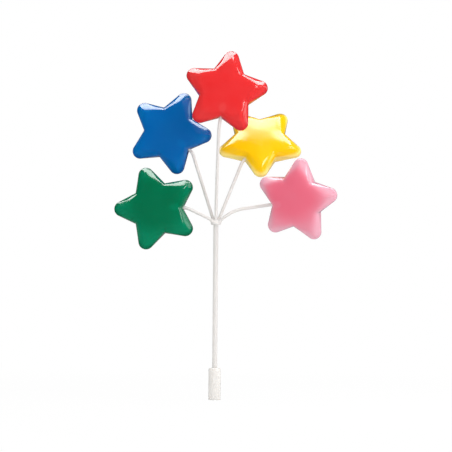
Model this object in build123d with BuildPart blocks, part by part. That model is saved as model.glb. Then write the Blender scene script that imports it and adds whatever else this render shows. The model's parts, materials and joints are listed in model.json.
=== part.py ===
from build123d import *
from math import cos, radians, sin, tan
from typing import NamedTuple, Optional
import os

os.makedirs("parts", exist_ok=True)

# A star cluster cake topper: five puffy two-piece stars that swivel on the ends of five thin branches.
# The branches rise from a small hub on a stem, and the stem stands in a base sleeve.
# All sizes are in millimetres and degrees.
# The origin is the middle of the sleeve's open foot, +Z runs up the stem and the stars face -Y.

# Base sleeve
SLEEVE_DIAMETER = 6.2
SLEEVE_SHOULDER_CHAMFER = 0.9
SLEEVE_FOOT_CHAMFER = 0.4
STAKE_SOCKET_DIAMETER = 4.2
STAKE_SOCKET_DEPTH = 9.0
SLEEVE_WEB = 1.8
SLEEVE_STEM_SEAT = 5.5

# Stem
STEM_DIAMETER = 2.4
STEM_FREE_LENGTH = 72.9
STEM_SPIGOT_DIAMETER = 1.2
STEM_SPIGOT_LENGTH = 1.1

# Branch hub
HUB_WEB = 0.6
HUB_SHOULDER = 1.1
HUB_RIM = 0.25
ROOT_LEAN = 45.0
ROOT_GAP = 0.2

# Branches
BRANCH_DIAMETER = 1.6
SPIGOT_DIAMETER = 0.9
SPIGOT_LENGTH = 0.9
PLUG_DIAMETER = 2.6
PLUG_LENGTH = 4.5
ROOT_STRAIGHT = 0.2
END_STRAIGHT = 1.0

# Swivel between a plug and its star
SWIVEL_CLEARANCE = 0.08
SWIVEL_END_GAP = 0.15
SWIVEL_WALL = 0.8
SWIVEL_RIB = 0.8

# Star moulding
STAR_POINTS = 5
STAR_REACH = 21.9
STAR_TIP_RADIUS = 3.95
STAR_ARM_ANGLE = 26.0
STAR_NOTCH_RADIUS = 0.7
STAR_HALF_DEPTH = 5.4
STAR_EDGE_HEIGHT = 3.8
STAR_EDGE_WIDTH = 3.1
STAR_CROWN_TIP_RADIUS = 0.3
STAR_DRAFT = 4.0
STAR_WALL = 0.8

# Seam between the two halves of a star
LIP_THICKNESS = 0.35
LIP_HEIGHT = 0.8
LIP_GAP = 0.05

# Flat panels that stand for each rounded form
TIP_FACETS = 7
NOTCH_FACETS = 2
EDGE_FACETS = 3
CAVITY_TIP_FACETS = 4
CAVITY_NOTCH_FACETS = 1
CAVITY_EDGE_FACETS = 2
HUB_SIDES = 24
BOSS_SIDES = 16
ROD_SIDES = 12
BEND_FACETS = 3


class Star(NamedTuple):
    """One star and its branch: where the branch meets the star, how it turns and how the branch bends."""

    name: str
    end: tuple[float, float, float]
    roll: float
    lean: float
    turn: float
    root_azimuth: Optional[float]
    rise: float
    lead: float


# Branch ends are measured from the middle of the hub's lower face.
STARS = (
    Star("red", (1.95, -10.5, 54.7), -9.6, 14.0, 4.0, None, 8.0, 5.0),
    Star("blue", (-14.1, 6.8, 38.4), 48.4, 8.0, -12.0, 120.0, 1.4, 2.4),
    Star("green", (-16.7, -3.0, 8.5), 90.6, 7.0, -5.5, 200.0, 1.6, 2.2),
    Star("yellow", (14.5, 8.0, 33.8), -35.0, 37.0, 1.3, 60.0, 1.4, 2.4),
    Star("pink", (29.1, -2.8, 10.8), -77.3, -10.3, -21.6, 340.0, 8.0, 5.0),
)

# Sizes that follow from those above
sleeve_height = STAKE_SOCKET_DEPTH + SLEEVE_WEB + SLEEVE_STEM_SEAT
stem_foot = STAKE_SOCKET_DEPTH + SLEEVE_WEB
hub_base = sleeve_height + STEM_FREE_LENGTH
stem_length = SLEEVE_STEM_SEAT + STEM_FREE_LENGTH
stem_radius = STEM_DIAMETER / 2
branch_radius = BRANCH_DIAMETER / 2
plug_radius = PLUG_DIAMETER / 2

root_slope = tan(radians(ROOT_LEAN))
ring_radius = BRANCH_DIAMETER + ROOT_GAP
hub_foot_radius = stem_radius + HUB_SHOULDER
hub_top_radius = ring_radius + branch_radius * cos(radians(ROOT_LEAN)) + HUB_RIM
hub_flat_radius = branch_radius + ROOT_GAP / 2
hub_height = STEM_SPIGOT_LENGTH + HUB_WEB + SPIGOT_LENGTH
hub_rim_height = hub_height - (hub_top_radius - hub_flat_radius) * root_slope
ring_height = hub_height - (ring_radius - hub_flat_radius) * root_slope

half_arm = radians(STAR_ARM_ANGLE)
half_pitch = radians(180 / STAR_POINTS)
half_notch = half_pitch + half_arm
sharp_tip = STAR_REACH + STAR_TIP_RADIUS * (1 / sin(half_arm) - 1)
sharp_notch = sharp_tip * sin(half_arm) / sin(half_notch)
tip_centre = STAR_REACH - STAR_TIP_RADIUS
notch_centre = sharp_notch + STAR_NOTCH_RADIUS / sin(half_notch)
notch_reach = notch_centre - STAR_NOTCH_RADIUS
side_height = STAR_HALF_DEPTH - STAR_EDGE_HEIGHT
side_draft = side_height * tan(radians(STAR_DRAFT))
edge_width = min(STAR_EDGE_WIDTH, STAR_TIP_RADIUS - STAR_CROWN_TIP_RADIUS - side_draft)

pocket_radius = plug_radius + SWIVEL_CLEARANCE
neck_radius = branch_radius + SWIVEL_CLEARANCE
boss_radius = pocket_radius + SWIVEL_WALL
pocket_mouth = notch_reach - STAR_WALL
pocket_end = pocket_mouth - PLUG_LENGTH - 2 * SWIVEL_END_GAP
boss_end = pocket_end - SWIVEL_WALL


def arc_corners(bearing: float, centre: float, radius: float, middle: float, sweep_angle: float, facets: int):
    """Give the corners of flat facets that touch an arc, whose centre lies out along a bearing."""
    corner_radius = radius / cos(sweep_angle / facets / 2)
    corners = []
    for step in range(facets):
        angle = middle - sweep_angle / 2 + sweep_angle * (step + 0.5) / facets
        x = centre * cos(bearing) + corner_radius * cos(angle)
        y = centre * sin(bearing) + corner_radius * sin(angle)
        corners.append((x, y))
    return corners


def star_corners(inset: float, tip_facets: int, notch_facets: int) -> list[tuple[float, float]]:
    """Walk round a star with one notch towards local -Y, moved in from the moulding's edge by inset."""
    corners = []
    for step in range(STAR_POINTS):
        notch = radians(-90) + 2 * step * half_pitch
        tip = notch + half_pitch
        notch_sweep = 2 * half_notch - radians(180)
        tip_sweep = radians(180) - 2 * half_arm
        notch_radius = STAR_NOTCH_RADIUS + inset
        tip_radius = STAR_TIP_RADIUS - inset
        corners += arc_corners(notch, notch_centre, notch_radius, notch + radians(180), notch_sweep, notch_facets)
        corners += arc_corners(tip, tip_centre, tip_radius, tip, tip_sweep, tip_facets)
    return corners


def faceted_loft(rings: list[list[tuple[float, float, float]]]) -> Solid:
    """Close a solid with flat panels between matching rings of corners and a flat cap on each end."""
    panels = [Face(Wire.make_polygon(rings[0])), Face(Wire.make_polygon(rings[-1]))]
    for lower, upper in zip(rings, rings[1:]):
        for here in range(len(lower)):
            there = (here + 1) % len(lower)
            panels.append(Face(Wire.make_polygon([lower[here], lower[there], upper[there], upper[here]])))
    return Solid(Shell(panels))


def puffy_half(inset: float, tip_facets: int, notch_facets: int, edge_facets: int) -> Solid:
    """Build half of a puffy star above its seam: a drafted side, a rounded edge and a flat crown."""
    levels = [(inset, 0.0), (inset + side_draft, side_height)]
    for step in range(1, edge_facets + 1):
        turn = radians(90 * step / edge_facets)
        inward = (edge_width - inset) * (1 - cos(turn))
        upward = (STAR_EDGE_HEIGHT - inset) * sin(turn)
        levels.append((inset + side_draft + inward, side_height + upward))
    rings = []
    for level_inset, height in levels:
        rings.append([(x, y, height) for x, y in star_corners(level_inset, tip_facets, notch_facets)])
    return faceted_loft(rings)


def cavity_half(inset: float) -> Solid:
    """Build the plainer inner form of a star half, with the skin moved in by inset."""
    return puffy_half(inset, CAVITY_TIP_FACETS, CAVITY_NOTCH_FACETS, CAVITY_EDGE_FACETS)


def seam_ring(outer: float, inner: float, socket_width: float) -> Sketch:
    """Draw the band along the seam between two insets, left open where the branch comes in."""
    with BuildSketch() as ring:
        Polygon(*star_corners(outer, CAVITY_TIP_FACETS, CAVITY_NOTCH_FACETS), align=None)
        Polygon(
            *star_corners(inner, CAVITY_TIP_FACETS, CAVITY_NOTCH_FACETS),
            align=None,
            mode=Mode.SUBTRACT,
        )
        with Locations((0, -notch_reach)):
            Rectangle(socket_width, notch_reach, mode=Mode.SUBTRACT)
    return ring.sketch


# Shared moulding of a star: the hollow half with half of the swivel socket, split on the seam
with BuildPart() as socket_core:
    with BuildSketch(Plane.XZ.offset(boss_end)):
        RegularPolygon(boss_radius, BOSS_SIDES)
        Rectangle(2 * boss_radius, boss_radius, align=(Align.CENTER, Align.MIN), mode=Mode.INTERSECT)
    extrude(amount=notch_reach - boss_end)
    with BuildSketch(Plane.XZ.offset(boss_end)):
        Rectangle(SWIVEL_RIB, STAR_HALF_DEPTH, align=(Align.CENTER, Align.MIN))
    extrude(amount=notch_reach - boss_end)
    add(cavity_half(STAR_WALL / 2), mode=Mode.INTERSECT)

with BuildPart() as half_shell:
    add(puffy_half(0, TIP_FACETS, NOTCH_FACETS, EDGE_FACETS))
    add(cavity_half(STAR_WALL), mode=Mode.SUBTRACT)
    add(socket_core.part)
    with BuildSketch(Plane.XZ.offset(pocket_end)):
        Circle(pocket_radius)
    extrude(amount=pocket_mouth - pocket_end, mode=Mode.SUBTRACT)
    with BuildSketch(Plane.XZ.offset(pocket_end)):
        Circle(neck_radius)
    extrude(amount=STAR_REACH, mode=Mode.SUBTRACT)

with BuildPart() as front_moulding:
    add(half_shell.part)
    add(seam_ring(STAR_WALL - LIP_THICKNESS, STAR_WALL, 2 * (boss_radius + LIP_GAP)))
    extrude(amount=-LIP_HEIGHT)

with BuildPart() as back_moulding:
    mirror(half_shell.part, about=Plane.XY)
    add(seam_ring(STAR_WALL - LIP_THICKNESS - LIP_GAP, STAR_WALL + LIP_GAP, 2 * boss_radius))
    extrude(amount=-LIP_HEIGHT - LIP_GAP, mode=Mode.SUBTRACT)

# Base sleeve: a round ferrule with the stem's seat above and an open socket for a stake below
with BuildPart() as base_sleeve:
    with BuildSketch(Plane.XY):
        Circle(SLEEVE_DIAMETER / 2)
    extrude(amount=sleeve_height)
    chamfer(base_sleeve.edges().sort_by(Axis.Z)[-1], length=SLEEVE_SHOULDER_CHAMFER)
    chamfer(base_sleeve.edges().sort_by(Axis.Z)[0], length=SLEEVE_FOOT_CHAMFER)
    with BuildSketch(Plane.XY):
        Circle(STAKE_SOCKET_DIAMETER / 2)
    extrude(amount=STAKE_SOCKET_DEPTH, mode=Mode.SUBTRACT)
    with BuildSketch(Plane.XY.offset(stem_foot)):
        Circle(stem_radius)
    extrude(amount=SLEEVE_STEM_SEAT, mode=Mode.SUBTRACT)
base_sleeve.part.label = "base_sleeve"
export_step(base_sleeve.part, "parts/base_sleeve.step")

# Stem: a plain rod whose shoulder carries the hub, with a spigot up into it
with BuildPart() as stem:
    with BuildSketch(Plane.XY.offset(stem_foot)):
        Circle(stem_radius)
    extrude(amount=stem_length)
    with BuildSketch(Plane.XY.offset(hub_base)):
        Circle(STEM_SPIGOT_DIAMETER / 2)
    extrude(amount=STEM_SPIGOT_LENGTH)
stem.part.label = "stem"
export_step(stem.part, "parts/stem.step")


def root_plane(azimuth: Optional[float]) -> Plane:
    """Give the plane on the hub that a branch's shoulder sits on, facing along the branch's root."""
    if azimuth is None:
        return Plane((0, 0, hub_base + hub_height))
    bearing = radians(azimuth)
    lean = radians(ROOT_LEAN)
    seat = Vector(ring_radius * cos(bearing), ring_radius * sin(bearing), hub_base + ring_height)
    rising = Vector(sin(lean) * cos(bearing), sin(lean) * sin(bearing), cos(lean))
    return Plane(origin=seat, z_dir=rising)


# Branch hub: a low flare with a conical top, with a seat for the stem and one for each branch
with BuildPart() as branch_hub:
    hub_profile = (
        (hub_foot_radius, hub_base),
        (hub_top_radius, hub_base + hub_rim_height),
        (hub_flat_radius, hub_base + hub_height),
    )
    hub_angles = [radians(360 * step / HUB_SIDES) for step in range(HUB_SIDES)]
    add(faceted_loft([[(r * cos(a), r * sin(a), z) for a in hub_angles] for r, z in hub_profile]))
    with BuildSketch(Plane.XY.offset(hub_base)):
        Circle(STEM_SPIGOT_DIAMETER / 2)
    extrude(amount=STEM_SPIGOT_LENGTH, mode=Mode.SUBTRACT)
    for star in STARS:
        with BuildSketch(root_plane(star.root_azimuth)):
            RegularPolygon(SPIGOT_DIAMETER / 2, ROD_SIDES)
        extrude(amount=-SPIGOT_LENGTH, mode=Mode.SUBTRACT)
branch_hub.part.label = "branch_hub"
export_step(branch_hub.part, "parts/branch_hub.step")


def star_frame(star: Star) -> Plane:
    """Give a star's own frame: middle of the moulding, +Y from the branch through it, +Z out of its front."""
    end = Vector(*star.end) + Vector(0, 0, hub_base)
    facing = Plane(Location(end) * Plane.XZ.location * Location((0, 0, 0), (-star.lean, star.turn, star.roll)))
    return Plane(origin=end + facing.y_dir * notch_reach, x_dir=facing.x_dir, z_dir=facing.z_dir)


def bend(corner: Vector, coming: Vector, going: Vector, setback: float) -> list[Vector]:
    """Step round a branch's corner on an arc that begins and ends the setback away from it."""
    arc = Edge.make_tangent_arc(corner - coming * setback, coming, corner + going * setback)
    return [arc @ (step / BEND_FACETS) for step in range(BEND_FACETS + 1)]


# One branch and the two halves of its star, for each star of the cluster
for star in STARS:
    frame = star_frame(star)
    root = root_plane(star.root_azimuth)
    along = frame.y_dir
    mouth = frame.origin - along * notch_reach
    plug_start = frame.origin - along * (pocket_mouth - SWIVEL_END_GAP)
    plug_end = plug_start + along * PLUG_LENGTH
    root_corner = root.origin + root.z_dir * star.rise
    end_corner = mouth - along * star.lead
    run = (end_corner - root_corner).normalized()

    with BuildPart() as branch:
        with BuildLine():
            path = Polyline(
                root.origin,
                *bend(root_corner, root.z_dir, run, star.rise - ROOT_STRAIGHT),
                *bend(end_corner, run, along, star.lead - END_STRAIGHT),
                (plug_start + plug_end) / 2,
            )
        with BuildSketch(root):
            RegularPolygon(branch_radius, ROD_SIDES)
        sweep(path=path, transition=Transition.RIGHT)
        with BuildSketch(Plane(origin=plug_start, x_dir=frame.x_dir, z_dir=along)):
            Circle(plug_radius)
        extrude(amount=PLUG_LENGTH)
        with BuildSketch(root):
            RegularPolygon(SPIGOT_DIAMETER / 2, ROD_SIDES)
        extrude(amount=-SPIGOT_LENGTH)
    branch.part.label = star.name + "_branch"
    export_step(branch.part, "parts/" + star.name + "_branch.step")

    with BuildPart(frame) as star_front:
        add(front_moulding.part)
    star_front.part.label = star.name + "_star_front"
    export_step(star_front.part, "parts/" + star.name + "_star_front.step")

    with BuildPart(frame) as star_back:
        add(back_moulding.part)
    star_back.part.label = star.name + "_star_back"
    export_step(star_back.part, "parts/" + star.name + "_star_back.step")
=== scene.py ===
"""Looks of a star cluster cake topper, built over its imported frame.

Glossy, slightly translucent stars turn on the ends of thin off-white branches. The branches rise from a hub
on a stem, and the stem stands in a base sleeve. Meshes are shaped in millimetres and set down in metres.
"""

import json
import logging
import math
from dataclasses import dataclass
from enum import Enum
from typing import Any, Callable, Optional, Sequence, Union

import bmesh
import bpy
import numpy as np
from mathutils import Matrix, Vector


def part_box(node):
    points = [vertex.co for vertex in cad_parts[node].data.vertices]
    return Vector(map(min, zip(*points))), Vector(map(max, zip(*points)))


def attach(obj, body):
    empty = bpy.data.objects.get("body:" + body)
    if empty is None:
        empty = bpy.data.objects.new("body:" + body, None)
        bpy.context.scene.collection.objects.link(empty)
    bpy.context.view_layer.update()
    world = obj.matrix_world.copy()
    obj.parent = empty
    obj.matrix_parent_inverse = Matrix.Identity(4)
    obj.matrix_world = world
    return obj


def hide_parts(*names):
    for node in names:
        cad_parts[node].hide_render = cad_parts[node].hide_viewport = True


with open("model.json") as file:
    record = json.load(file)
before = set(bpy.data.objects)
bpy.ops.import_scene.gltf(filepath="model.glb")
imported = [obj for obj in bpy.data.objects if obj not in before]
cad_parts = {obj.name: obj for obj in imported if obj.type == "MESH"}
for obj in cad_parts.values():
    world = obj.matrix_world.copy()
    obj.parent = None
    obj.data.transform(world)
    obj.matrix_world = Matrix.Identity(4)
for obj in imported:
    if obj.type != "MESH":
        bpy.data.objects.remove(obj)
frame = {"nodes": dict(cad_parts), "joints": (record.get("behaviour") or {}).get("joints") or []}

LOG = logging.getLogger("cake_topper")
MM = 0.001
MOULD_PLACE = "mould_place"
CREASE = math.radians(38)
ON_SIDE = 0.995
UP = Vector((0.0, 0.0, 1.0)).freeze()
WHITE = (1.0, 1.0, 1.0, 1.0)

Colour = tuple[float, float, float]
Place = tuple[float, float, float]
Pair = tuple[float, float]
Value = Union["Signal", float]


class StarColour(Enum):
    """The stars of the cluster, named by colour as the frame's bodies are."""

    RED = "red"
    BLUE = "blue"
    GREEN = "green"
    YELLOW = "yellow"
    PINK = "pink"


class Half(Enum):
    """The two mouldings of a star."""

    FRONT = "front"
    BACK = "back"


class LampUse(Enum):
    """What a lamp is for."""

    ALL = "all"
    GLOSS = "gloss"
    FILL = "fill"


def from_display(red: int, green: int, blue: int) -> Colour:
    """Turn a colour as a screen shows it into linear light.

    Args:
        red: Red from 0 to 255.
        green: Green from 0 to 255.
        blue: Blue from 0 to 255.

    Returns:
        The three linear values from 0 to 1.
    """

    def linear(level: int) -> float:
        """Undo the screen's transfer curve for one channel."""
        share = level / 255
        return share / 12.92 if share <= 0.04045 else ((share + 0.055) / 1.055) ** 2.4

    return linear(red), linear(green), linear(blue)


class Signal:
    """A shader value whose arithmetic adds Math nodes to its tree."""

    def __init__(self, tree: "ShaderTree", socket: bpy.types.NodeSocket) -> None:
        """Hold an output socket and the tree that it belongs to."""
        self.tree = tree
        self.socket = socket

    def _math(self, operation: str, first: Value, second: Value) -> "Signal":
        """Add one Math node."""
        return self.tree.node("ShaderNodeMath", {"operation": operation}, {0: first, 1: second})

    def __add__(self, other: Value) -> "Signal":
        """Add two values."""
        return self._math("ADD", self, other)

    def __radd__(self, other: Value) -> "Signal":
        """Add this value to a number."""
        return self._math("ADD", other, self)

    def __sub__(self, other: Value) -> "Signal":
        """Take a value from this one."""
        return self._math("SUBTRACT", self, other)

    def __rsub__(self, other: Value) -> "Signal":
        """Take this value from a number."""
        return self._math("SUBTRACT", other, self)

    def __mul__(self, other: Value) -> "Signal":
        """Multiply two values."""
        return self._math("MULTIPLY", self, other)

    def __rmul__(self, other: Value) -> "Signal":
        """Multiply a number by this value."""
        return self._math("MULTIPLY", other, self)

    def __truediv__(self, other: Value) -> "Signal":
        """Divide this value by another."""
        return self._math("DIVIDE", self, other)

    def __rtruediv__(self, other: Value) -> "Signal":
        """Divide a number by this value."""
        return self._math("DIVIDE", other, self)

    def __pow__(self, other: Value) -> "Signal":
        """Raise this value to a power."""
        return self._math("POWER", self, other)

    def __rpow__(self, other: Value) -> "Signal":
        """Raise a number to this value."""
        return self._math("POWER", other, self)

    def __abs__(self) -> "Signal":
        """Drop this value's sign."""
        return self._math("ABSOLUTE", self, 0.0)

    def most(self, other: Value) -> "Signal":
        """Take the larger of two values."""
        return self._math("MAXIMUM", self, other)

    def ease(self, low: float, high: float) -> "Signal":
        """Rise smoothly from 0 to 1 as this value goes from low to high.

        Args:
            low: Where the rise begins.
            high: Where it ends.

        Returns:
            The eased value.
        """
        sockets = {"Value": self, "From Min": low, "From Max": high}
        return self.tree.node("ShaderNodeMapRange", {"interpolation_type": "SMOOTHSTEP"}, sockets)


class ShaderTree:
    """A node tree that is filled by short calls."""

    def __init__(self, tree: bpy.types.NodeTree) -> None:
        """Take over a tree and empty it."""
        self.tree = tree
        self.tree.nodes.clear()

    def node(
        self,
        kind: str,
        settings: Optional[dict[str, Any]] = None,
        sockets: Optional[dict[Union[str, int], Any]] = None,
        output: Union[str, int] = 0,
    ) -> Signal:
        """Add a node, set it up and link it.

        Args:
            kind: The node's type.
            settings: Its own properties, set first.
            sockets: Values or signals for its inputs, by name or place.
            output: The output that is wanted.

        Returns:
            That output as a signal.
        """
        made = self.tree.nodes.new(kind)
        for name, value in (settings or {}).items():
            setattr(made, name, value)
        for key, value in (sockets or {}).items():
            if isinstance(value, Signal):
                self.tree.links.new(value.socket, made.inputs[key])
            else:
                made.inputs[key].default_value = value
        return Signal(self, made.outputs[output])

    def mix(self, share: Value, first: Union[Signal, Colour], second: Union[Signal, Colour]) -> Signal:
        """Blend two colours.

        Args:
            share: How much of the second colour is taken, from 0 to 1.
            first: The colour at 0.
            second: The colour at 1.

        Returns:
            The blended colour.
        """
        start, end = (c if isinstance(c, Signal) else (*c, 1.0) for c in (first, second))
        return self.node("ShaderNodeMix", {"data_type": "RGBA"}, {0: share, 6: start, 7: end}, output=2)

    def noise(self, place: Signal, scale: float, detail: float = 2.0, roughness: float = 0.5) -> Signal:
        """Add cloudy noise over a place.

        Args:
            place: The coordinates that it follows.
            scale: Clouds in a unit of length.
            detail: Octaves of finer cloud.
            roughness: How strong the finer clouds are.

        Returns:
            The noise, about 0.5 in the middle.
        """
        sockets = {"Vector": place, "Scale": scale, "Detail": detail, "Roughness": roughness}
        return self.node("ShaderNodeTexNoise", None, sockets)

    def bump(self, height: Signal, distance: float, under: Optional[Signal] = None) -> Signal:
        """Turn a height into a normal.

        Args:
            height: The relief, from 0 to 1.
            distance: Its depth in metres.
            under: A normal that it is laid over.

        Returns:
            The bumped normal.
        """
        sockets = {"Height": height, "Distance": distance, "Strength": 1.0}
        if under is not None:
            sockets["Normal"] = under
        return self.node("ShaderNodeBump", None, sockets)

    def axis(self, vector: Signal, name: str) -> Signal:
        """Take a vector's value on one axis."""
        return self.node("ShaderNodeSeparateXYZ", None, {0: vector}, output=name)

    def ray(self, kind: str) -> Signal:
        """Say whether the ray that asks is of a kind."""
        return self.node("ShaderNodeLightPath", output=f"Is {kind} Ray")

    def surface(self, shader: Signal, kind: str = "ShaderNodeOutputMaterial") -> None:
        """End the tree in a shader."""
        output = self.tree.nodes.new(kind)
        self.tree.links.new(shader.socket, output.inputs["Surface"])

    def plastic(self, sockets: dict[str, Any]) -> None:
        """End the tree in a plastic that lets some light in."""
        settings = {"subsurface_method": "RANDOM_WALK"}
        self.surface(self.node("ShaderNodeBsdfPrincipled", settings, sockets))


def new_material(name: str) -> tuple[bpy.types.Material, ShaderTree]:
    """Make an empty node material.

    Args:
        name: The material's name.

    Returns:
        The material and its tree.
    """
    material = bpy.data.materials.new(name)
    material.use_nodes = True
    return material, ShaderTree(material.node_tree)


@dataclass(frozen=True)
class StarPlastic:
    """Glossy moulded plastic that lets a little light in.

    The colour changes along the seam in a painted rim: painted shade darkens it on the red, blue and green
    stars, and painted light, as if through the thin edge, pales it on the yellow and pink ones. It also
    pales towards the tips with painted light, and where the plug sits close behind it. A shift moves the
    deep middle off the star's centre, and that painted light with it. The gloss has the slow waves and the
    fine grain of a thin moulding, and each colour has its own blur. Places on the star are in millimetres,
    and scales and depths in metres.
    """

    body: Colour
    # Colour of the painted rim: painted shade where it is darker than the body, painted light where it is
    # paler.
    rim: Colour
    # Paler colour, used for the random clouds, for the painted light towards the tips and for the plug
    # behind the wall.
    pale: Colour
    glow_reach: Colour
    # Painted light on the arms: how much they pale towards the tips, where that starts and ends, and a
    # shift that moves the painted light to one side.
    painted_tip_light: float
    painted_tip_light_start: float = 8.0
    painted_tip_light_end: float = 20.0
    painted_light_shift: float = 0.0
    # Where the painted rim fades out from the seam, in millimetres, and how much of its colour is taken.
    painted_rim_start: float = 0.5
    painted_rim_end: float = 2.6
    painted_rim_share: float = 0.7
    plug_middle: float = -9.6
    plug_width: float = 2.4
    plug_length: float = 3.4
    plug_core: float = 0.1
    plug_share: float = 0.14
    cloud_scale: float = 130.0
    cloud_share: float = 0.12
    wave_scale: float = 85.0
    wave_depth: float = 0.00005
    grain_scale: float = 1300.0
    grain_depth: float = 0.0000005
    smear_scale: float = 390.0
    smear_roughness: float = 0.65
    gloss: float = 1.0
    gloss_blur: float = 0.1
    under_gloss: float = 0.1
    roughness: float = 0.12
    roughness_spread: float = 0.1
    refraction: float = 1.49
    glow: float = 0.22
    glow_depth: float = 0.0012

    def material(self, name: str) -> bpy.types.Material:
        """Build the finish.

        Args:
            name: The material's name.

        Returns:
            The node material.
        """
        material, tree = new_material(name)
        place = tree.node("ShaderNodeTexCoord", output="Object")
        mould = tree.node("ShaderNodeAttribute", {"attribute_name": MOULD_PLACE}, output="Vector")
        across, along, depth = (tree.axis(mould, letter) for letter in "XYZ")

        clouds = tree.noise(place, self.cloud_scale, detail=3.0)
        # Painted rim near the seam: painted shade on the red, blue and green stars, painted light on the
        # yellow and pink ones.
        seam = 1 - abs(depth).ease(self.painted_rim_start, self.painted_rim_end)
        beside_plug = (across / self.plug_width) ** 2
        off_plug = beside_plug + ((along - self.plug_middle) / self.plug_length) ** 2
        plug = 1 - off_plug.ease(self.plug_core, 1.0)
        # Painted light: the star pales from its deep middle out to the tips, as if lit through the arms.
        off_middle = (across - self.painted_light_shift) ** 2 + along**2
        tips = off_middle.ease(self.painted_tip_light_start**2, self.painted_tip_light_end**2)

        colour = tree.mix(clouds * self.cloud_share + tips * self.painted_tip_light, self.body, self.pale)
        # Lay the painted rim over the colour.
        colour = tree.mix(seam * self.painted_rim_share, colour, self.rim)
        colour = tree.mix(plug * self.plug_share, colour, self.pale)

        waves = tree.noise(place, self.wave_scale, detail=1.0)
        grain = tree.noise(place, self.grain_scale)
        smears = tree.noise(place, self.smear_scale, detail=4.0, roughness=self.smear_roughness)
        relief = tree.bump(grain, self.grain_depth, tree.bump(waves, self.wave_depth))

        tree.plastic(
            {
                "Base Color": colour,
                "Roughness": self.roughness + smears * self.roughness_spread,
                "Normal": relief,
                "IOR": self.refraction,
                "Specular IOR Level": self.under_gloss,
                "Coat Weight": self.gloss,
                "Coat Roughness": self.gloss_blur,
                "Subsurface Weight": self.glow,
                "Subsurface Radius": self.glow_reach,
                "Subsurface Scale": self.glow_depth,
            }
        )
        return material


@dataclass(frozen=True)
class SprayPlastic:
    """Soft off-white plastic of the sleeve, stem, hub and branches, with a faint milky unevenness."""

    body: Colour
    shade: Colour
    cloud_scale: float = 240.0
    cloud_share: float = 0.5
    cloud_part: float = 0.6
    streak_squeeze: float = 0.06
    streak_roughness: float = 0.6
    grain_scale: float = 2200.0
    grain_depth: float = 0.000004
    grain_part: float = 0.5
    roughness: float = 0.3
    roughness_spread: float = 0.18
    refraction: float = 1.5
    glow: float = 0.3
    glow_reach: Colour = (1.0, 0.95, 0.9)
    glow_depth: float = 0.0008

    def material(self, name: str) -> bpy.types.Material:
        """Build the finish.

        Args:
            name: The material's name.

        Returns:
            The node material.
        """
        material, tree = new_material(name)
        place = tree.node("ShaderNodeTexCoord", output="Object")
        squeeze = {"Vector": place, "Scale": (1.0, 1.0, self.streak_squeeze)}
        drawn = tree.node("ShaderNodeMapping", None, squeeze)
        clouds = tree.noise(place, self.cloud_scale, detail=3.0)
        streaks = tree.noise(drawn, self.grain_scale, detail=3.0, roughness=self.streak_roughness)
        grain = tree.noise(place, self.grain_scale)
        milky = clouds * self.cloud_part + streaks * (1 - self.cloud_part)
        relief = grain * self.grain_part + streaks * (1 - self.grain_part)
        tree.plastic(
            {
                "Base Color": tree.mix(milky * self.cloud_share, self.body, self.shade),
                "Roughness": self.roughness + streaks * self.roughness_spread,
                "Normal": tree.bump(relief, self.grain_depth),
                "IOR": self.refraction,
                "Subsurface Weight": self.glow,
                "Subsurface Radius": self.glow_reach,
                "Subsurface Scale": self.glow_depth,
            }
        )
        return material


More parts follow.
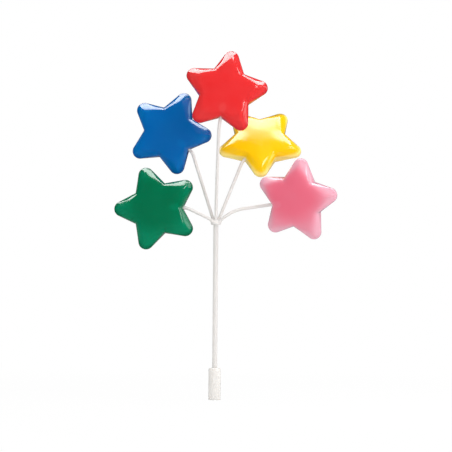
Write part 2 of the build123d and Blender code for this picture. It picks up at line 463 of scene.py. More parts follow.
class Bench:
    """A modelling bench, on which one mesh is shaped in edit mode, in millimetres."""

    MERGE = 0.0005

    def __init__(self, name: str) -> None:
        """Take the primitive that was just added into edit mode, all of it selected.

        Args:
            name: The piece's name.
        """
        bpy.ops.object.transform_apply(location=True, rotation=True, scale=True)
        self.piece = bpy.context.object
        self.piece.name = name
        bpy.ops.object.mode_set(mode="EDIT")
        bpy.ops.mesh.select_mode(type="VERT")
        bpy.ops.mesh.select_all(action="SELECT")

    @classmethod
    def point(cls, name: str, place: Vector) -> "Bench":
        """Start a piece from one point.

        Args:
            name: The piece's name.
            place: Where the point is.

        Returns:
            The bench with the point selected.
        """
        bpy.ops.object.select_all(action="DESELECT")
        bpy.ops.mesh.primitive_plane_add(size=1.0, location=place)
        bench = cls(name)
        bpy.ops.mesh.merge(type="CENTER")
        return bench

    @classmethod
    def ring(cls, name: str, centre: Vector, axis: Vector, radius: float, sides: int) -> "Bench":
        """Start a piece from a closed ring.

        Args:
            name: The piece's name.
            centre: The ring's middle.
            axis: The direction that it faces.
            radius: Its radius.
            sides: How many sides it has.

        Returns:
            The bench with the ring selected.
        """
        facing = axis.to_track_quat("Z", "Y").to_euler()
        bpy.ops.object.select_all(action="DESELECT")
        bpy.ops.mesh.primitive_circle_add(vertices=sides, radius=radius, location=centre, rotation=facing)
        return cls(name)

    def select(self, test: Callable[[Vector], bool]) -> None:
        """Select the points that pass a test, and what lies between them.

        Args:
            test: Takes a point's place and says whether it is selected.
        """
        bpy.ops.mesh.select_all(action="DESELECT")
        shape = bmesh.from_edit_mesh(self.piece.data)
        for point in shape.verts:
            point.select_set(test(point.co))
        shape.select_flush(True)
        bmesh.update_edit_mesh(self.piece.data)

    def pull(self, step: Vector, pieces: int = 1) -> None:
        """Extrude the selected points or edges straight, in equal pieces."""
        for _ in range(pieces):
            bpy.ops.mesh.extrude_region_move(TRANSFORM_OT_translate={"value": step / pieces})

    def swing(self, centre: Vector, axis: Vector, angle: float, steps: int) -> None:
        """Extrude the selected points or edges round an arc.

        Args:
            centre: A point on the arc's axis.
            axis: The arc's axis.
            angle: How far it turns, right-handed, in radians.
            steps: How many pieces it has.
        """
        bpy.ops.mesh.spin(steps=steps, angle=-angle, center=centre, axis=axis)

    def resize(self, factor: float, centre: Vector) -> None:
        """Scale what is selected about a point."""
        bpy.ops.transform.resize(value=(factor, factor, factor), center_override=centre)

    def cap(self) -> None:
        """Close the selected ring with a face."""
        bpy.ops.mesh.edge_face_add()

    def heal(self) -> None:
        """Merge doubled points and turn every face outwards."""
        bpy.ops.mesh.select_all(action="SELECT")
        bpy.ops.mesh.remove_doubles(threshold=self.MERGE)
        bpy.ops.mesh.normals_make_consistent(inside=False)

    def done(self) -> bpy.types.Object:
        """Leave edit mode and smooth the shading, apart from sharp edges.

        Returns:
            The piece.
        """
        bpy.ops.object.mode_set(mode="OBJECT")
        bpy.ops.object.shade_smooth_by_angle(angle=CREASE)
        return self.piece

    @staticmethod
    def turned(name: str, profile: Sequence[Pair], sides: int) -> "Bench":
        """Turn a profile about +Z, as on a lathe.

        Args:
            name: The piece's name.
            profile: Radius and height of each corner.
            sides: Steps round the turn.

        Returns:
            The bench with the closed shape on it.
        """
        points = [Vector((radius, 0.0, height)) for radius, height in profile]
        bench = Bench.point(name, points[0])
        for here, there in zip(points, points[1:]):
            bench.pull(there - here)
        bpy.ops.mesh.select_all(action="SELECT")
        bench.swing(Vector(), UP, 2 * math.pi, sides)
        bench.heal()
        return bench

    @staticmethod
    def pick(piece: bpy.types.Object) -> None:
        """Select one piece alone and make it the active one.

        Args:
            piece: The piece.
        """
        bpy.ops.object.select_all(action="DESELECT")
        bpy.context.view_layer.objects.active = piece
        piece.select_set(True)

    @staticmethod
    def apply(piece: bpy.types.Object, kind: str, **settings: Any) -> None:
        """Add a modifier and apply it.

        Args:
            piece: The piece that it works on.
            kind: The modifier's type.
            settings: Its properties.
        """
        Bench.pick(piece)
        modifier = piece.modifiers.new(kind.title(), kind)
        for name, value in settings.items():
            setattr(modifier, name, value)
        bpy.ops.object.modifier_apply(modifier=modifier.name)

    @staticmethod
    def set_down(piece: bpy.types.Object, place: Matrix) -> None:
        """Put a piece shaped in millimetres in its place in the frame.

        Args:
            piece: The piece.
            place: Its own frame, in metres.
        """
        Bench.pick(piece)
        piece.matrix_world = place @ Matrix.Scale(MM, 4)
        bpy.ops.object.transform_apply(location=True, rotation=True, scale=True)


def arc(centre: Pair, radius: float, start: float, end: float, steps: int) -> list[Pair]:
    """Step along an arc of a lathe profile.

    Args:
        centre: The arc's centre, as radius and height.
        radius: Its radius.
        start: Its first angle in degrees, from the radial direction upwards.
        end: Its last angle in degrees.
        steps: How many pieces it has.

    Returns:
        The points, both ends included.
    """
    angles = [math.radians(start + (end - start) * step / steps) for step in range(steps + 1)]
    return [(centre[0] + radius * math.cos(a), centre[1] + radius * math.sin(a)) for a in angles]


def dress(piece: bpy.types.Object, material: bpy.types.Material, body: str, node: str) -> None:
    """Give a piece its finish, its body and the CAD node that it stands for.

    Args:
        piece: The finished piece.
        material: Its finish.
        body: The body that it moves with.
        node: The CAD node that it replaces.
    """
    piece.data.materials.clear()
    piece.data.materials.append(material)
    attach(piece, body)
    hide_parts(node)
    LOG.info("%s stands for %s, %d faces", piece.name, node, len(piece.data.polygons))


def swivel(colour: StarColour) -> tuple[Vector, Vector]:
    """Read from the frame where a star turns on its branch.

    Args:
        colour: The star's colour.

    Returns:
        The mouth of its socket, in metres, and the direction of the branch's end.
    """
    joint = next(j for j in frame["joints"] if j["child"] == f"{colour.value}_star")
    return Vector(joint["pos_m"]), Vector(joint["axis"]).normalized()


@dataclass
class StarMould:
    """The shape that the stars share: half of a puffy five-pointed moulding, above its seam.

    In the mould's own frame +Y runs from the branch's notch through the star and +Z out of its face.
    """

    points: int = 5
    reach: float = 21.9
    tip_radius: float = 3.95
    arm_angle: float = math.radians(26)
    notch_radius: float = 0.7
    side_height: float = 1.6
    side_draft: float = 0.11
    edge_width: float = 3.4
    edge_height: float = 3.0
    edge_slope: float = 0.16
    edge_steps: int = 14
    crown_rise: float = 0.95
    crown_cell: float = 0.8
    crown_merge: float = 0.35
    crown_relaxing: int = 84
    relaxing_factor: float = 0.5
    blend_start: float = 0.6
    blend_end: float = 0.85
    blend_passes: int = 2
    taper: float = 2.8
    taper_start: float = 14.5
    taper_onset: float = 3.4
    taper_spread: float = 0.8
    wall: float = 0.8
    seam_break: float = 0.1
    seam_segments: int = 2
    neck_radius: float = 0.88
    neck_sides: int = 40
    tip_steps: int = 18
    notch_steps: int = 8
    side_steps: int = 16
    level: float = 0.001
    straight_up: float = 0.9999
    straight_down: float = -0.9

    def __post_init__(self) -> None:
        """Work out the outline's corners."""
        self.pitch = math.pi / self.points
        self.notch_angle = self.pitch + self.arm_angle
        sharp_tip = self.reach + self.tip_radius * (1 / math.sin(self.arm_angle) - 1)
        sharp_notch = sharp_tip * math.sin(self.arm_angle) / math.sin(self.notch_angle)
        self.tip_centre = self.reach - self.tip_radius
        self.notch_centre = sharp_notch + self.notch_radius / math.sin(self.notch_angle)
        self.notch_reach = self.notch_centre - self.notch_radius

    def corner(self, distance: float, bearing: float, radius: float, angle: float) -> Vector:
        """Find a point on a rounded corner of the outline.

        Args:
            distance: How far out the corner's centre is.
            bearing: The direction of that centre.
            radius: The corner's radius.
            angle: The direction from its centre to the point.

        Returns:
            The point, on the seam.
        """
        x = distance * math.cos(bearing) + radius * math.cos(angle)
        y = distance * math.sin(bearing) + radius * math.sin(angle)
        return Vector((x, y, 0.0))

    def outline(self, name: str) -> Bench:
        """Draw the star's outline on the seam and fill it.

        Args:
            name: The piece's name.

        Returns:
            The bench with the flat star on it, its face upwards.
        """
        tip_turn = math.pi / 2 - self.arm_angle
        notch_turn = math.pi / 2 - self.notch_angle
        first_tip = -math.pi / 2 + self.pitch
        first = self.corner(self.tip_centre, first_tip, self.tip_radius, first_tip - tip_turn)
        bench = Bench.point(name, first)
        for step in range(self.points):
            tip = first_tip + 2 * step * self.pitch
            notch = tip + self.pitch
            next_tip = notch + self.pitch
            inward = notch + math.pi
            tip_middle = self.corner(self.tip_centre, tip, 0.0, 0.0)
            notch_middle = self.corner(self.notch_centre, notch, 0.0, 0.0)
            side_start = self.corner(self.tip_centre, tip, self.tip_radius, tip + tip_turn)
            side_end = self.corner(self.notch_centre, notch, self.notch_radius, inward + notch_turn)
            notch_end = self.corner(self.notch_centre, notch, self.notch_radius, inward - notch_turn)
            next_start = self.corner(self.tip_centre, next_tip, self.tip_radius, next_tip - tip_turn)
            bench.swing(tip_middle, UP, 2 * tip_turn, self.tip_steps)
            bench.pull(side_end - side_start, self.side_steps)
            bench.swing(notch_middle, UP, -2 * notch_turn, self.notch_steps)
            bench.pull(next_start - notch_end, self.side_steps)
        bpy.ops.mesh.select_all(action="SELECT")
        bpy.ops.mesh.remove_doubles(threshold=Bench.MERGE)
        bench.cap()
        shape = bmesh.from_edit_mesh(bench.piece.data)
        shape.faces.ensure_lookup_table()
        if shape.faces[0].normal.z < 0:
            bpy.ops.mesh.flip_normals()
        return bench

    def raise_edge(self) -> float:
        """Raise the filled outline into a drafted side and a rounded edge.

        Returns:
            The height that the edge reaches.
        """
        bpy.ops.mesh.inset(thickness=self.side_draft, depth=self.side_height)
        last = math.atan2(self.edge_height, self.edge_width * self.edge_slope)
        height = self.side_height
        for step in range(self.edge_steps):
            here = last * step / self.edge_steps
            there = last * (step + 1) / self.edge_steps
            inward = self.edge_width * (math.cos(here) - math.cos(there))
            upward = self.edge_height * (math.sin(there) - math.sin(here))
            bpy.ops.mesh.inset(thickness=inward, depth=upward)
            height += upward
        return height

    def raise_crown(self, bench: Bench, height: float) -> None:
        """Cut the face inside the rounded edge into small cells and let it relax into a dome.

        Cells that come out too thin beside the edge are merged with it first.

        Args:
            bench: The bench with the star on it.
            height: Where the crown starts.
        """
        cells = int(self.reach / self.crown_cell)
        for across in (Vector((1.0, 0.0, 0.0)), Vector((0.0, 1.0, 0.0))):
            for cell in range(-cells, cells + 1):
                bench.select(lambda point: point.z > height - self.level)
                bpy.ops.mesh.bisect(plane_co=across * (cell + 0.5) * self.crown_cell, plane_no=across)
        self.select_crown(bench)
        bpy.ops.mesh.remove_doubles(threshold=self.crown_merge, use_unselected=True)
        bpy.ops.mesh.select_all(action="SELECT")
        bpy.ops.mesh.dissolve_degenerate(threshold=Bench.MERGE)
        self.select_crown(bench)
        bpy.ops.transform.translate(value=(0.0, 0.0, self.crown_rise))
        bpy.ops.mesh.vertices_smooth(
            factor=self.relaxing_factor, repeat=self.crown_relaxing, xaxis=False, yaxis=False
        )

    def select_crown(self, bench: Bench) -> None:
        """Select the points inside the rounded edge, where every face looks straight up.

        Args:
            bench: The bench with the star on it.
        """
        bpy.ops.mesh.select_all(action="DESELECT")
        shape = bmesh.from_edit_mesh(bench.piece.data)
        for point in shape.verts:
            point.select_set(all(face.normal.z > self.straight_up for face in point.link_faces))
        bmesh.update_edit_mesh(bench.piece.data)

    def ease_crown(self, half: bpy.types.Object) -> None:
        """Smooth the crown where it meets the rounded edge.

        Args:
            half: The half, before it is hollow.
        """
        crown = half.vertex_groups.new(name="crown")
        low = self.side_height + self.blend_start * self.edge_height
        high = self.side_height + self.blend_end * self.edge_height
        for point in half.data.vertices:
            share = (point.co.z - low) / (high - low)
            crown.add([point.index], min(1.0, max(0.0, share)), "REPLACE")
        Bench.apply(
            half,
            "LAPLACIANSMOOTH",
            iterations=self.blend_passes,
            lambda_factor=1.0,
            lambda_border=0.0,
            use_x=False,
            use_y=False,
            use_volume_preserve=False,
            vertex_group=crown.name,
        )

    def taper_tips(self, half: bpy.types.Object) -> None:
        """Let the arms slope down to their tips, so that the crown comes to a point on each arm.

        Args:
            half: The half, before it is hollow.
        """
        tips = half.vertex_groups.new(name="tips")
        onset = self.taper_onset
        whole = self.reach - self.taper_start - onset / 2
        top = self.side_height + self.edge_height
        for point in half.data.vertices:
            bearing = math.atan2(point.co.y, point.co.x) + math.pi / 2
            off_arm = bearing % (2 * self.pitch) - self.pitch
            along = point.co.xy.length * math.cos(off_arm)
            across = point.co.xy.length * abs(math.sin(off_arm))
            past = max(0.0, along + self.taper_spread * across - self.taper_start)
            slope = past * past / (2 * onset) if past < onset else past - onset / 2
            lift = min(1.0, max(0.0, point.co.z) / top)
            tips.add([point.index], lift * min(1.0, slope / whole), "REPLACE")
        fall = -self.taper
        Bench.apply(half, "DISPLACE", direction="Z", strength=fall, mid_level=0.0, vertex_group=tips.name)

    def build(self) -> bpy.types.Object:
        """Model the half as a hollow moulding with its part of the branch's hole.

        Each point keeps its place in the mould, which the finish reads.

        Returns:
            The half, in millimetres and in the mould's frame.
        """
        bench = self.outline("star_half")
        self.raise_crown(bench, self.raise_edge())
        half = bench.done()
        self.ease_crown(half)
        self.taper_tips(half)
        Bench.apply(half, "SOLIDIFY", thickness=self.wall, offset=-1.0, use_even_offset=True)
        self.break_seam_edge(half)
        self.cut_neck(half)
        bpy.ops.object.shade_smooth_by_angle(angle=CREASE)
        places = half.data.attributes.new(MOULD_PLACE, "FLOAT_VECTOR", "POINT")
        places.data.foreach_set("vector", [value for point in half.data.vertices for value in point.co])
        return half

    def break_seam_edge(self, half: bpy.types.Object) -> None:
        """Bevel the outer edge of the seam, so that the two halves meet in a fine groove.

        Args:
            half: The hollow half.
        """
        bpy.context.view_layer.objects.active = half
        bpy.ops.object.mode_set(mode="EDIT")
        bpy.ops.mesh.select_mode(type="EDGE")
        bpy.ops.mesh.select_all(action="DESELECT")
        shape = bmesh.from_edit_mesh(half.data)
        for edge in shape.edges:
            on_seam = all(abs(point.co.z) < self.level for point in edge.verts)
            facing = sorted(face.normal.z for face in edge.link_faces)
            edge.select_set(on_seam and facing[0] < self.straight_down and facing[-1] > 0.0)
        bmesh.update_edit_mesh(half.data)
        bpy.ops.mesh.bevel(offset=self.seam_break, segments=self.seam_segments, affect="EDGES")
        bpy.ops.object.mode_set(mode="OBJECT")

    def cut_neck(self, half: bpy.types.Object) -> None:
        """Cut the half-round opening that the branch comes in by.

        Args:
            half: The hollow half.
        """
        bpy.ops.object.select_all(action="DESELECT")
        bpy.ops.mesh.primitive_cylinder_add(
            vertices=self.neck_sides,
            radius=self.neck_radius,
            depth=4 * self.wall,
            location=(0.0, -self.notch_reach, 0.0),
            rotation=(math.pi / 2, 0.0, 0.0),
        )
        cutter = bpy.context.object
        Bench.apply(half, "BOOLEAN", operation="DIFFERENCE", solver="EXACT", object=cutter)
        bpy.data.objects.remove(cutter)


@dataclass
class Star:
    """One star of the cluster: two copies of the mould's half, face to face on the seam."""

    colour: StarColour
    finish: StarPlastic
    mould: StarMould

    def place(self) -> Matrix:
        """Read the star's own frame from its joint and from where its two mouldings lie.

        Returns:
            The mould's frame in the part, in metres.
        """
        mouth, along = swivel(self.colour)
        outward = self.middle(Half.FRONT) - self.middle(Half.BACK)
        outward = (outward - along * outward.dot(along)).normalized()
        middle = mouth + along * self.mould.notch_reach * MM
        rows = Matrix((along.cross(outward), along, outward)).transposed()
        return Matrix.Translation(middle) @ rows.to_4x4()

    def middle(self, half: Half) -> Vector:
        """Find the mean corner of one of the star's CAD mouldings.

        Args:
            half: Which of the two it is.

        Returns:
            The mean corner, in metres.
        """
        node = frame["nodes"][f"{self.colour.value}_star_{half.value}"]
        corners = np.unique(np.round([tuple(point.co) for point in node.data.vertices], 6), axis=0)
        return Vector(corners.mean(axis=0))

    def build(self, template: bpy.types.Object) -> None:
        """Copy the half twice, set both down and dress them.

        Args:
            template: The mould's half.
        """
        name = self.colour.value
        place = self.place()
        material = self.finish.material(f"{name}_star_plastic")
        for half in Half:
            piece = template.copy()
            piece.data = template.data.copy()
            piece.name = f"{name}_{half.value}_skin"
            bpy.context.scene.collection.objects.link(piece)
            turn = Matrix.Rotation(0.0 if half is Half.FRONT else math.pi, 4, "Y")
            Bench.set_down(piece, place @ turn)
            dress(piece, material, f"{name}_star", f"{name}_star_{half.value}")


@dataclass
class Spray:
    """Sizes that the off-white pieces share, read from the frame where it holds them, in millimetres."""

    branch_radius: float = 0.8
    root_gap: float = 0.2
    root_lean: float = math.radians(45)
    stem_radius: float = 1.2
    body: str = "spray"

    def __post_init__(self) -> None:
        """Read the heights of the hub and the sleeve."""
        self.hub_base, self.hub_top = (corner.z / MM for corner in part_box("branch_hub"))
        self.sleeve_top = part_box("base_sleeve")[1].z / MM
        self.sleeve_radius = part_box("base_sleeve")[1].x / MM
        self.hub_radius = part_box("branch_hub")[1].x / MM
        self.hub_flat = self.branch_radius + self.root_gap / 2
        self.ring_radius = 2 * self.branch_radius + self.root_gap

    def root(self, azimuth: Optional[float]) -> tuple[Vector, Vector]:
        """Find where a branch rises from the hub, and its direction there.

        Args:
            azimuth: The branch's bearing on the hub in degrees, or None for the middle one.

        Returns:
            The seat and the direction.
        """
        if azimuth is None:
            return UP * self.hub_top, UP.copy()
        bearing = math.radians(azimuth)
        out = Vector((math.cos(bearing), math.sin(bearing), 0.0))
        fall = (self.ring_radius - self.hub_flat) * math.tan(self.root_lean)
        seat = out * self.ring_radius + UP * (self.hub_top - fall)
        rising = out * math.sin(self.root_lean) + UP * math.cos(self.root_lean)
        return seat, rising

    def finish(self, piece: bpy.types.Object, material: bpy.types.Material, node: str) -> None:
        """Set a piece down as it was drawn and dress it.

        Args:
            piece: The piece, in millimetres.
            material: Its finish.
            node: The CAD node that it replaces.
        """
        Bench.set_down(piece, Matrix.Identity(4))
        dress(piece, material, self.body, node)


@dataclass
class Branch:
    """One thin branch: a round rod with two bends and a plug that turns in its star."""

    colour: StarColour
    root_azimuth: Optional[float]
    rise: float
    lead: float
    root_straight: float = 0.2
    end_straight: float = 1.0
    plug_radius: float = 1.3
    plug_length: float = 4.5
    plug_edge: float = 0.3
    skin_gap: float = 0.95
    sides: int = 28
    bend_steps: int = 14
    parting_ridge: float = 0.035

    def bend(self, bench: Bench, corner: Vector, coming: Vector, going: Vector, setback: float) -> None:
        """Swing the rod's end round a corner of its route.

        Args:
            bench: The bench with the rod on it, its end ring selected.
            corner: Where the two straight runs would meet.
            coming: The direction before the bend.
            going: The direction after it.
            setback: How far from the corner the bend begins and ends.
        """
        axis = coming.cross(going).normalized()
        angle = coming.angle(going)
        radius = setback / math.tan(angle / 2)
        centre = corner - coming * setback + axis.cross(coming) * radius
        bench.swing(centre, axis, angle, self.bend_steps)

    def build(self, spray: Spray, material: bpy.types.Material) -> None:
        """Sweep the rod from the hub to its plug, then set it down and dress it.

        Args:
            spray: The sizes of the off-white pieces.
            material: Their finish.
        """
        name = self.colour.value
        mouth, along = swivel(self.colour)
        mouth = mouth / MM
        seat, rising = spray.root(self.root_azimuth)
        root_corner = seat + rising * self.rise
        end_corner = mouth - along * self.lead
        run = (end_corner - root_corner).normalized()
        root_setback = self.rise - self.root_straight
        end_setback = self.lead - self.end_straight

        foot = seat - rising * spray.branch_radius
        bench = Bench.ring(f"{name}_branch_rod", foot, rising, spray.branch_radius, self.sides)
        sideways = (bench.piece.data.vertices[0].co - foot).normalized()
        bench.cap()
        bench.select(lambda point: abs((point - foot).dot(sideways)) > ON_SIDE * spray.branch_radius)
        bench.resize(1 + self.parting_ridge / spray.branch_radius, foot)
        bench.select(lambda point: True)
        bench.pull(rising * (spray.branch_radius + self.root_straight))
        self.bend(bench, root_corner, rising, run, root_setback)
        bench.pull(end_corner - run * end_setback - root_corner - run * root_setback)
        self.bend(bench, end_corner, run, along, end_setback)
        bench.pull(along * (self.end_straight + self.skin_gap))
        self.plug(bench, mouth + along * self.skin_gap, along, spray.branch_radius)
        bench.heal()
        spray.finish(bench.done(), material, f"{name}_branch")

    def plug(self, bench: Bench, start: Vector, along: Vector, radius: float) -> None:
        """Step the rod's end up to the plug and close it.

        Args:
            bench: The bench with the rod on it, its end ring selected.
            start: The middle of the plug's near face.
            along: The plug's direction.
            radius: The rod's radius.
        """
        shoulder = self.plug_radius - self.plug_edge
        bench.pull(Vector())
        bench.resize(shoulder / radius, start)
        bench.pull(along * self.plug_edge)
        bench.resize(self.plug_radius / shoulder, start + along * self.plug_edge)
        bench.pull(along * (self.plug_length - 2 * self.plug_edge))
        bench.pull(along * self.plug_edge)
        bench.resize(shoulder / self.plug_radius, start + along * self.plug_length)
        bench.cap()


@dataclass
class BaseSleeve:
    """The wide sleeve at the foot, with a rounded shoulder above and an open stake socket below."""

    socket_radius: float = 2.1
    socket_depth: float = 9.0
    socket_lead: float = 0.25
    seat_floor: float = 1.8
    foot_round: float = 0.4
    foot_steps: int = 8
    shoulder_round: float = 0.9
    shoulder_steps: int = 12
    stem_lead: float = 0.15
    sides: int = 64

    def build(self, spray: Spray, material: bpy.types.Material) -> None:
        """Turn the sleeve, set it down and dress it.

        Args:
            spray: The sizes of the off-white pieces.
            material: Their finish.
        """
        top = spray.sleeve_top
        seat = self.socket_depth + self.seat_floor
        foot = (spray.sleeve_radius - self.foot_round, self.foot_round)
        shoulder = (spray.sleeve_radius - self.shoulder_round, top - self.shoulder_round)
        profile = [
            (0.0, self.socket_depth),
            (self.socket_radius, self.socket_depth),
            (self.socket_radius, self.socket_lead),
            (self.socket_radius + self.socket_lead, 0.0),
            *arc(foot, self.foot_round, -90, 0, self.foot_steps),
            *arc(shoulder, self.shoulder_round, 0, 90, self.shoulder_steps),
            (spray.stem_radius + self.stem_lead, top),
            (spray.stem_radius, top - self.stem_lead),
            (spray.stem_radius, seat),
            (0.0, seat),
        ]
        bench = Bench.turned("sleeve_moulding", profile, self.sides)
        spray.finish(bench.done(), material, "base_sleeve")


@dataclass
class Stem:
    """The straight rod between the sleeve and the hub, with the fine ridges that its mould left."""

    foot: float = 10.8
    spigot_radius: float = 0.6
    spigot_length: float = 1.1
    parting_ridge: float = 0.045
    ridge_start: float = 0.4
    sides: int = 40

    def build(self, spray: Spray, material: bpy.types.Material) -> None:
        """Pull the rod up from its foot, set it down and dress it.

        Args:
            spray: The sizes of the off-white pieces.
            material: Their finish.
        """
        radius = spray.stem_radius
        shoulder = UP * spray.hub_base
        ridge = UP * (spray.sleeve_top + self.ridge_start)
        above = spray.sleeve_top + self.ridge_start / 2
        bench = Bench.ring("stem_rod", UP * self.foot, UP, radius, self.sides)
        bench.cap()
        bench.pull(UP * (spray.sleeve_top - self.foot))
        bench.pull(UP * self.ridge_start)
        bench.select(lambda point: point.z > above and abs(point.x) > ON_SIDE * radius)
        bench.resize(1 + self.parting_ridge / radius, ridge)
        bench.select(lambda point: point.z > above)
        bench.pull(shoulder - ridge)
        bench.pull(Vector())
        bench.resize(self.spigot_radius / radius, shoulder)
        bench.pull(UP * self.spigot_length)
        bench.cap()
        bench.heal()
        spray.finish(bench.done(), material, "stem")


@dataclass
class BranchHub:
    """The small flared junction that the branches rise from, with a soft collar round each root."""

    foot_radius: float = 2.3
    collar_radius: float = 1.12
    collar_end: float = 0.84
    collar_length: float = 1.5
    collar_sink: float = 0.5
    voxel: float = 0.085
    smoothing: int = 8
    smoothing_factor: float = 0.5
    sides: int = 48

    def build(
        self, spray: Spray, material: bpy.types.Material, azimuths: Sequence[Optional[float]]
    ) -> None:
        """Turn the flare, grow the collars out of it, then set it down and dress it.

        Args:
            spray: The sizes of the off-white pieces.
            material: Their finish.
            azimuths: The bearings of the branches.
        """
        rim = spray.hub_top - (spray.hub_radius - spray.hub_flat) * math.tan(spray.root_lean)
        profile = [
            (0.0, spray.hub_base),
            (self.foot_radius, spray.hub_base),
            (spray.hub_radius, rim),
            (spray.hub_flat, spray.hub_top),
            (0.0, spray.hub_top),
        ]
        bench = Bench.turned("hub_moulding", profile, self.sides)
        hub = bench.done()
        collars = [self.collar(*spray.root(azimuth)) for azimuth in azimuths]
        bpy.ops.object.select_all(action="DESELECT")
        for piece in (*collars, hub):
            piece.select_set(True)
        bpy.context.view_layer.objects.active = hub
        bpy.ops.object.join()
        Bench.apply(hub, "REMESH", mode="VOXEL", voxel_size=self.voxel)
        Bench.apply(hub, "SMOOTH", factor=self.smoothing_factor, iterations=self.smoothing)
        bpy.ops.object.shade_smooth()
        spray.finish(hub, material, "branch_hub")

    def collar(self, seat: Vector, rising: Vector) -> bpy.types.Object:
        """Shape the tapered collar of one branch.

        Args:
            seat: The middle of the branch's seat on the hub.
            rising: The branch's direction there.

        Returns:
            The collar, in millimetres.
        """
        foot = seat - rising * self.collar_sink
        bench = Bench.ring("collar", foot, rising, self.collar_radius, self.sides // 2)
        bench.cap()
        length = self.collar_sink + self.collar_length
        bench.pull(rising * length)
        bench.resize(self.collar_end / self.collar_radius, foot + rising * length)
        bench.cap()
        bench.heal()
        return bench.done()


@dataclass
class Softbox:
    """A soft lamp: where it hangs, what it faces, its width and height, and how bright its face is."""

    name: str
    place: Place
    target: Place
    width: float
    height: float
    radiance: float
    use: LampUse = LampUse.ALL

    def hang(self) -> None:
        """Hang the lamp and turn it to its target."""
        light = bpy.data.lights.new(self.name, "AREA")
        light.shape = "RECTANGLE"
        light.size = self.width
        light.size_y = self.height
        light.energy = self.radiance * math.pi * self.width * self.height
        lamp = bpy.data.objects.new(self.name, light)
        lamp.location = self.place
        facing = Vector(self.target) - Vector(self.place)
        lamp.rotation_euler = facing.to_track_quat("-Z", "Y").to_euler()
        lamp.visible_camera = False
        lamp.visible_glossy = self.use is not LampUse.FILL
        lamp.visible_diffuse = self.use is not LampUse.GLOSS
        bpy.context.scene.collection.objects.link(lamp)


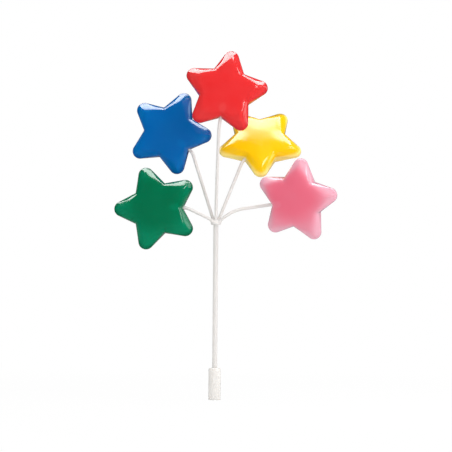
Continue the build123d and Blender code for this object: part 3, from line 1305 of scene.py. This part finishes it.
@dataclass
class Studio:
    """A pale floor, soft lamps and a long lens, level with the object and straight in front of it.

    The camera's place comes from where the sleeve's foot lies in the picture, in its pixels.
    """

    picture_size: int = 452
    pixel_size: float = 0.00051
    foot_across: float = 214.4
    foot_down: float = 399.9
    camera_roll: float = math.radians(0.49)
    camera_distance: float = 2.6
    camera_end: float = 20.0
    sensor_width: float = 36.0
    lamp_target: Place = (0.0, 0.0, 0.13)
    panel_across: float = -0.08
    panel_height: float = 0.72
    panel_width: float = 1.04
    ambient: float = 0.64
    ambient_slope: float = 0.1
    ambient_side: Place = (0.5, -0.3, 0.8)
    gloss_ambient: float = 0.006
    gloss_backdrop: float = 0.25
    backdrop_rise: Pair = (0.45, 0.7)
    backdrop_fall: Pair = (0.76, 0.9)
    floor_radius: float = 0.9
    floor_sides: int = 96
    floor_white: float = 0.93
    floor_fade: Pair = (0.15, 0.6)
    floor_paper: float = 0.88
    floor_gloss: float = 0.05
    floor_gloss_behind: float = 0.25
    floor_behind: Pair = (-0.02, 0.1)

    def camera(self) -> None:
        """Put the camera where the picture was taken from."""
        across = (self.picture_size / 2 - self.foot_across) * self.pixel_size
        up = (self.foot_down - self.picture_size / 2) * self.pixel_size
        right = Vector((math.cos(self.camera_roll), 0.0, math.sin(self.camera_roll)))
        above = Vector((-math.sin(self.camera_roll), 0.0, math.cos(self.camera_roll)))
        back = Vector((0.0, -1.0, 0.0))
        lens = bpy.data.cameras.new("long_lens")
        lens.sensor_width = self.sensor_width
        lens.lens = self.sensor_width * self.camera_distance / (self.picture_size * self.pixel_size)
        lens.clip_end = self.camera_end
        camera = bpy.data.objects.new("camera", lens)
        place = Matrix.Translation(right * across + above * up + back * self.camera_distance)
        camera.matrix_world = place @ Matrix((right, above, back)).transposed().to_4x4()
        bpy.context.scene.collection.objects.link(camera)
        bpy.context.scene.camera = camera

    def lamps(self) -> None:
        """Hang the lamps round the stars: panels overhead that only gloss shows, and softer ones."""
        for name, depth, length, radiance in (
            ("top_rim", -0.14, 0.04, 1.4),
            ("top_edge", -0.1, 0.04, 5.2),
            ("top_softbox", 0.1, 0.36, 8.6),
        ):
            place = (self.panel_across, depth, self.panel_height)
            below = (self.panel_across, depth, 0.0)
            Softbox(name, place, below, self.panel_width, length, radiance, LampUse.GLOSS).hang()
        target = self.lamp_target
        Softbox(
            "top_fill",
            (0.0, 0.05, 0.72),
            (0.0, 0.05, 0.0),
            width=1.0,
            height=0.7,
            radiance=1.3,
            use=LampUse.FILL,
        ).hang()
        Softbox("right_softbox", (0.6, -0.08, 0.36), target, width=0.36, height=0.44, radiance=2.2).hang()
        Softbox("key", (0.56, -0.56, 0.56), target, width=0.14, height=0.42, radiance=8.5).hang()
        Softbox(
            "front_fill",
            (-0.3, -1.05, 0.15),
            target,
            width=0.9,
            height=0.9,
            radiance=1.35,
            use=LampUse.FILL,
        ).hang()

    def floor(self) -> None:
        """Lay the floor under the sleeve, white in the picture but with the object's shadow."""
        bpy.ops.object.select_all(action="DESELECT")
        bpy.ops.mesh.primitive_circle_add(
            vertices=self.floor_sides, radius=self.floor_radius, fill_type="NGON"
        )
        floor = bpy.context.object
        floor.name = "floor"
        material, tree = new_material("pale_floor")
        place = tree.node("ShaderNodeTexCoord", output="Object")
        distance = tree.node("ShaderNodeVectorMath", {"operation": "LENGTH"}, {0: place}, output="Value")
        seen = tree.ray("Camera").most(tree.ray("Transmission"))
        white = self.floor_white + (1 - self.floor_white) * distance.ease(*self.floor_fade)
        behind = tree.axis(place, "Y").ease(*self.floor_behind)
        mirrored = self.floor_gloss + (self.floor_gloss_behind - self.floor_gloss) * behind
        shade = self.floor_paper + tree.ray("Glossy") * (mirrored - self.floor_paper)
        paper = tree.node("ShaderNodeBsdfDiffuse", None, {"Color": shade})
        glow = tree.node("ShaderNodeEmission", None, {"Color": WHITE, "Strength": 1.0})
        tree.surface(tree.node("ShaderNodeMixShader", None, {0: seen * white, 1: paper, 2: glow}))
        floor.data.materials.append(material)

    def world(self) -> None:
        """Make the backdrop white, with a soft even light and a dim room on the camera's side."""
        world = bpy.data.worlds.new("studio")
        world.use_nodes = True
        world.cycles.sampling_method = "NONE"
        bpy.context.scene.world = world
        tree = ShaderTree(world.node_tree)
        direction = tree.node("ShaderNodeTexCoord", output="Generated")
        depth = tree.axis(direction, "Y")
        behind = depth.ease(*self.backdrop_rise) * (1 - depth.ease(*self.backdrop_fall))
        sides = {0: direction, 1: self.ambient_side}
        towards = tree.node("ShaderNodeVectorMath", {"operation": "DOT_PRODUCT"}, sides, output="Value")
        camera = tree.ray("Camera")
        gloss = camera.most(tree.ray("Glossy")).most(tree.ray("Transmission")) - camera
        room = self.gloss_ambient + (self.gloss_backdrop - self.gloss_ambient) * behind
        soft = self.ambient + self.ambient_slope * towards
        level = camera + gloss * room + (1 - camera - gloss) * soft
        light = tree.node("ShaderNodeBackground", None, {"Color": WHITE, "Strength": level})
        tree.surface(light, "ShaderNodeOutputWorld")

    def build(self) -> None:
        """Set up the whole studio."""
        self.camera()
        self.lamps()
        self.floor()
        self.world()
        bpy.context.scene.view_settings.view_transform = "Standard"


# Each star's rim colour is a painted rim along its seam: darker as painted shade on the red, blue and green
# stars, paler as painted light on the yellow and pink ones.
STAR_FINISHES = {
    StarColour.RED: StarPlastic(
        body=from_display(222, 38, 40),
        rim=from_display(186, 16, 30),
        pale=from_display(242, 112, 112),
        glow_reach=(1.0, 0.25, 0.2),
        painted_tip_light=0.1,
    ),
    StarColour.BLUE: StarPlastic(
        body=from_display(1, 94, 167),
        rim=from_display(1, 62, 132),
        pale=from_display(2, 134, 208),
        glow_reach=(0.1, 0.4, 1.0),
        painted_tip_light=0.25,
    ),
    StarColour.GREEN: StarPlastic(
        body=from_display(1, 104, 67),
        rim=from_display(1, 74, 46),
        pale=from_display(6, 156, 116),
        glow_reach=(0.1, 0.8, 0.5),
        painted_tip_light=0.35,
        # Moves the painted light on the arms to one side.
        painted_light_shift=3.0,
    ),
    StarColour.YELLOW: StarPlastic(
        body=from_display(252, 198, 3),
        # Pale rim: painted light through the edge.
        rim=from_display(254, 230, 140),
        pale=from_display(254, 214, 30),
        glow_reach=(1.0, 0.8, 0.2),
        painted_tip_light=0.1,
        painted_rim_start=0.9,
        painted_rim_end=2.4,
        painted_rim_share=0.85,
        gloss_blur=0.14,
    ),
    StarColour.PINK: StarPlastic(
        body=from_display(234, 104, 128),
        # Pale rim: painted light through the edge.
        rim=from_display(234, 176, 192),
        pale=from_display(236, 160, 178),
        glow_reach=(1.0, 0.5, 0.5),
        painted_tip_light=0.6,
        # Moves the painted light on the arms to one side.
        painted_light_shift=-5.0,
        painted_rim_start=2.0,
        painted_rim_end=5.0,
        painted_rim_share=0.85,
        gloss_blur=0.2,
    ),
}

STEM_FINISH = SprayPlastic(body=from_display(229, 226, 223), shade=from_display(210, 207, 204))
SLEEVE_FINISH = SprayPlastic(body=from_display(236, 233, 229), shade=from_display(222, 219, 214))

BRANCHES = (
    Branch(StarColour.RED, root_azimuth=None, rise=8.0, lead=5.0),
    Branch(StarColour.BLUE, root_azimuth=120.0, rise=1.4, lead=2.4),
    Branch(StarColour.GREEN, root_azimuth=200.0, rise=1.6, lead=2.2),
    Branch(StarColour.YELLOW, root_azimuth=60.0, rise=1.4, lead=2.4),
    Branch(StarColour.PINK, root_azimuth=340.0, rise=8.0, lead=5.0),
)


def main() -> None:
    """Build the pieces in order, then the studio, and note the sizes."""
    logging.basicConfig(level=logging.INFO, format="%(name)s: %(message)s")
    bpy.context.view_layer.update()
    spray = Spray()
    stem_plastic = STEM_FINISH.material("stem_plastic")
    sleeve_plastic = SLEEVE_FINISH.material("sleeve_plastic")
    BaseSleeve().build(spray, sleeve_plastic)
    Stem().build(spray, stem_plastic)
    BranchHub().build(spray, stem_plastic, [branch.root_azimuth for branch in BRANCHES])
    for branch in BRANCHES:
        branch.build(spray, stem_plastic)

    mould = StarMould()
    template = mould.build()
    for colour in StarColour:
        Star(colour, STAR_FINISHES[colour], mould).build(template)
    bpy.data.objects.remove(template)

    Studio().build()


if __name__ == "__main__":
    main()
